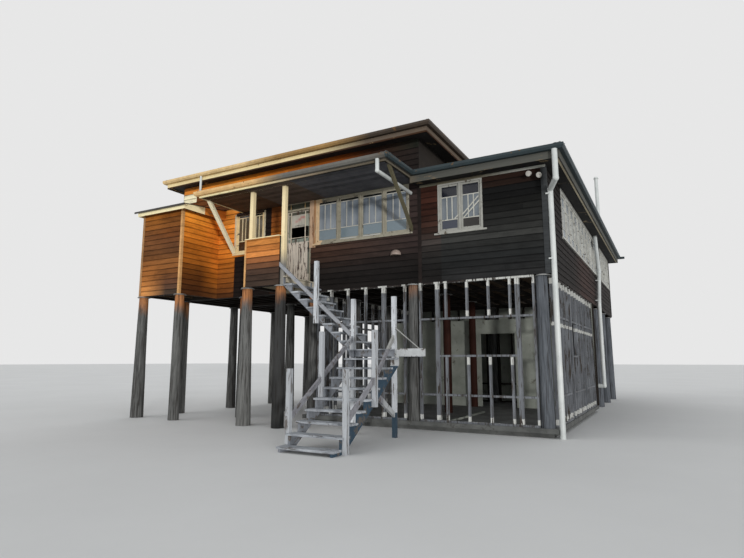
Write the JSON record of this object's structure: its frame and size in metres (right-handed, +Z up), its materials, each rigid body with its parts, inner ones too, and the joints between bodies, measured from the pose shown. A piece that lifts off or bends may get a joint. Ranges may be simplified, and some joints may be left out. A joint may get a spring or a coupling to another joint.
{
  "type": "stilt house",
  "caption": "High-set timber house on log stumps with a two-flight outside stair, a covered porch and an open stud-framed store beneath",
  "frame": {"origin": "middle of the footprint, on the ground", "axes": "+X runs right along the front, +Y from the front to the back, +Z up; the stair stands at -Y"},
  "size_m": [12.66, 18.18, 8.8479],
  "materials": {
    "concrete": "rough cast",
    "stump_log": "bare weathered logs",
    "zinc_sheet": "dull",
    "frame_timber": "bare, sawn",
    "floor_boards": "bare, worn",
    "dark_boards": "dark stain, weathered",
    "orange_boards": "orange-brown stain, weathered",
    "roof_sheet": "dull",
    "cream_trim": "old flaking paint",
    "gutter_sheet": "dull",
    "window_glass": "clear",
    "door_paint": "old peeling paint",
    "stair_paint": "old grey paint",
    "store_paint": "old pale paint",
    "lining_paint": "painted sheet",
    "white_plastic": "matt",
    "lamp_metal": "dull",
    "vent_metal": "dull"
  },
  "bodies": {
    "house": {"lower_slab": "concrete", "stumps": "stump_log", "stump_caps": "zinc_sheet", "bearers": "frame_timber", "joists": "frame_timber", "upper_floor": "floor_boards", "front_floors": "floor_boards", "front_wall_left": "dark_boards", "front_wall_over_door": "dark_boards", "front_wall_centre": "dark_boards", "front_wall_wing": "dark_boards", "left_wall": "dark_boards", "right_wall": "dark_boards", "back_wall": "dark_boards", "back_wall_wing": "dark_boards", "wing_header_wall": "dark_boards", "box_front_wall": "orange_boards", "box_end_walls": "orange_boards", "porch_half_walls": "orange_boards", "main_roof": "roof_sheet", "wing_roof": "roof_sheet", "canopy_roof": "roof_sheet", "box_roof": "cream_trim", "main_eaves": "cream_trim", "lower_eaves": "cream_trim", "gutters": "gutter_sheet", "porch_posts": "cream_trim", "canopy_beam": "cream_trim", "canopy_struts": "cream_trim", "front_windows": "cream_trim", "side_windows": "cream_trim", "rear_windows": "cream_trim", "window_glass": "window_glass", "door_frame": "cream_trim", "stair_strings": "stair_paint", "lower_treads": "stair_paint", "upper_treads": "stair_paint", "landing_frame": "stair_paint", "landing_deck": "stair_paint", "stair_newels": "stair_paint", "stair_rails": "stair_paint", "store_front_frame": "store_paint", "store_side_frames": "store_paint", "store_back_frame": "frame_timber", "store_partition": "lining_paint", "store_back_lining": "lining_paint", "downpipes": "white_plastic", "vent_stack": "white_plastic", "lamps": "lamp_metal", "wall_vent": "vent_metal"},
    "front_door": {"front_door": "door_paint", "door_glass": "window_glass"}
  },
  "joints": [
    {"name": "front_door_hinge", "type": "hinge", "parent": "house", "child": "front_door", "pos_m": [-1.5675, -4.851, 3.7], "axis": [0, 0, 1], "range_deg": [0, 90]}
  ]
}
